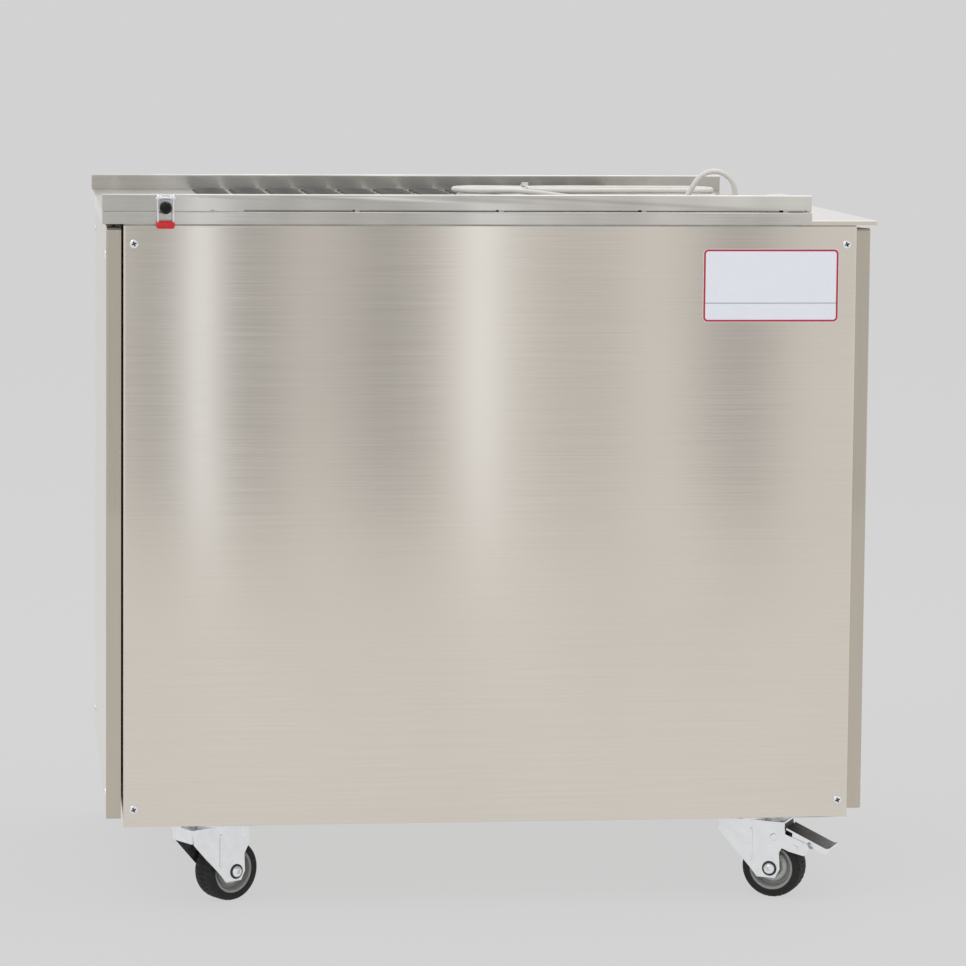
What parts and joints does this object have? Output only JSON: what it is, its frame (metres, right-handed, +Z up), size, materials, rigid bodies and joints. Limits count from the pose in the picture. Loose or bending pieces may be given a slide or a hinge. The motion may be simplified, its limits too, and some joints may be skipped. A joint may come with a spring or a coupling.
{
  "type": "egg candling table",
  "caption": "Stainless cabinet on swivel casters with a lit lamp deck between guide rails, loading lip, tray stop and mains cord.",
  "frame": {"origin": "on the floor, under the middle of the table without its cord", "axes": "+Z up, +X along the table towards the loading lip, -Y towards the panel with the rating plate"},
  "size_m": [0.93, 0.632, 0.8932],
  "materials": {
    "stainless": "brushed along its length",
    "frame_steel": "mill finish tube",
    "zinc": "bright zinc plate",
    "tyre": "matt black rubber",
    "rim": "grey moulded core",
    "cup_rubber": "matt",
    "lens": "frosted",
    "board": "white coated board",
    "supply_case": "pressed sheet case",
    "cord": "smooth sheath",
    "cord_fittings": "moulded",
    "plate_face": "printed film, border only",
    "black_plastic": "moulded",
    "red_grip": "dipped vinyl"
  },
  "bodies": {
    "cabinet": {"frame_posts": "frame_steel", "frame_top_ring": "frame_steel", "frame_base_ring": "frame_steel", "cross_members": "frame_steel", "base_shelf": "stainless", "near_panel": "stainless", "far_panel": "stainless", "left_end_pan": "stainless", "right_end_pan": "stainless", "panel_screws": "zinc", "pan_screws": "zinc", "deck": "stainless", "deck_bearers": "frame_steel", "deck_screws": "zinc", "near_rail": "stainless", "far_rail": "stainless", "rail_welds": "stainless", "loading_lip": "stainless", "lamp_cups": "cup_rubber", "lamp_lenses": "lens", "reflector_tubes": "zinc", "lamp_board": "board", "board_standoffs": "zinc", "power_supply": "supply_case", "inner_lead": "cord", "rating_plate": "plate_face", "switch_bezel": "black_plastic", "stop_bracket": "zinc", "cord_bush": "cord_fittings", "cord_lead": "cord", "cord_hank": "cord", "cord_tail": "cord", "cord_tie": "cord_fittings", "plug": "cord_fittings", "caster_plates": "zinc", "caster_bolts": "zinc"},
    "stop_handle": {"stop_handle": "zinc", "stop_grip": "red_grip"},
    "stop_plunger": {"stop_plunger": "zinc", "stop_knob": "black_plastic"},
    "switch_rocker": {"switch_rocker": "black_plastic"},
    "near_left_swivel": {"near_left_fork": "zinc", "near_left_axle": "zinc"},
    "near_left_wheel": {"near_left_hub": "rim", "near_left_tyre": "tyre"},
    "near_right_swivel": {"near_right_fork": "zinc", "near_right_axle": "zinc"},
    "near_right_wheel": {"near_right_hub": "rim", "near_right_tyre": "tyre"},
    "near_right_pedal": {"near_right_brake": "zinc"},
    "far_left_swivel": {"far_left_fork": "zinc", "far_left_axle": "zinc"},
    "far_left_wheel": {"far_left_hub": "rim", "far_left_tyre": "tyre"},
    "far_right_swivel": {"far_right_fork": "zinc", "far_right_axle": "zinc"},
    "far_right_wheel": {"far_right_hub": "rim", "far_right_tyre": "tyre"},
    "far_right_pedal": {"far_right_brake": "zinc"}
  },
  "joints": [
    {"name": "near_left_turn", "type": "hinge", "parent": "cabinet", "child": "near_left_swivel", "pos_m": [-0.336, -0.22958, 0.096], "axis": [0, 0, 1], "continuous": true},
    {"name": "near_left_roll", "type": "hinge", "parent": "near_left_swivel", "child": "near_left_wheel", "pos_m": [-0.31252, -0.21433, 0.0375], "axis": [-0.5446, 0.8387, 0], "continuous": true},
    {"name": "near_right_turn", "type": "hinge", "parent": "cabinet", "child": "near_right_swivel", "pos_m": [0.336, -0.22958, 0.096], "axis": [0, 0, 1], "continuous": true},
    {"name": "near_right_roll", "type": "hinge", "parent": "near_right_swivel", "child": "near_right_wheel", "pos_m": [0.36072, -0.24272, 0.0375], "axis": [0.4695, 0.8829, 0], "continuous": true},
    {"name": "near_right_lock", "type": "hinge", "parent": "near_right_swivel", "child": "near_right_pedal", "pos_m": [0.3888, -0.25765, 0.0663], "axis": [0.4695, 0.8829, 0], "range_deg": [0, 8]},
    {"name": "far_left_turn", "type": "hinge", "parent": "cabinet", "child": "far_left_swivel", "pos_m": [-0.336, 0.25042, 0.096], "axis": [0, 0, 1], "continuous": true},
    {"name": "far_left_roll", "type": "hinge", "parent": "far_left_swivel", "child": "far_left_wheel", "pos_m": [-0.36072, 0.26357, 0.0375], "axis": [-0.4695, -0.8829, 0], "continuous": true},
    {"name": "far_right_turn", "type": "hinge", "parent": "cabinet", "child": "far_right_swivel", "pos_m": [0.336, 0.25042, 0.096], "axis": [0, 0, 1], "continuous": true},
    {"name": "far_right_roll", "type": "hinge", "parent": "far_right_swivel", "child": "far_right_wheel", "pos_m": [0.36339, 0.2446, 0.0375], "axis": [0.2079, 0.9781, 0], "continuous": true},
    {"name": "far_right_lock", "type": "hinge", "parent": "far_right_swivel", "child": "far_right_pedal", "pos_m": [0.39449, 0.23799, 0.0663], "axis": [0.2079, 0.9781, 0], "range_deg": [0, 8]},
    {"name": "stop_lever", "type": "hinge", "parent": "cabinet", "child": "stop_handle", "pos_m": [-0.391, -0.30298, 0.859], "axis": [-1, 0, 0], "range_deg": [0, 48.89]},
    {"name": "stop_pull", "type": "slide", "parent": "cabinet", "child": "stop_plunger", "axis": [0, -1, 0], "range_m": [0, 0.01]},
    {"name": "switch_press", "type": "hinge", "parent": "cabinet", "child": "switch_rocker", "pos_m": [0.35, 0.30642, 0.764], "axis": [-1, 0, 0], "range_deg": [0, 18]}
  ],
  "couplings": [
    {"joint": "stop_pull", "follows": "stop_lever", "m_per_rad": 0.011719}
  ]
}
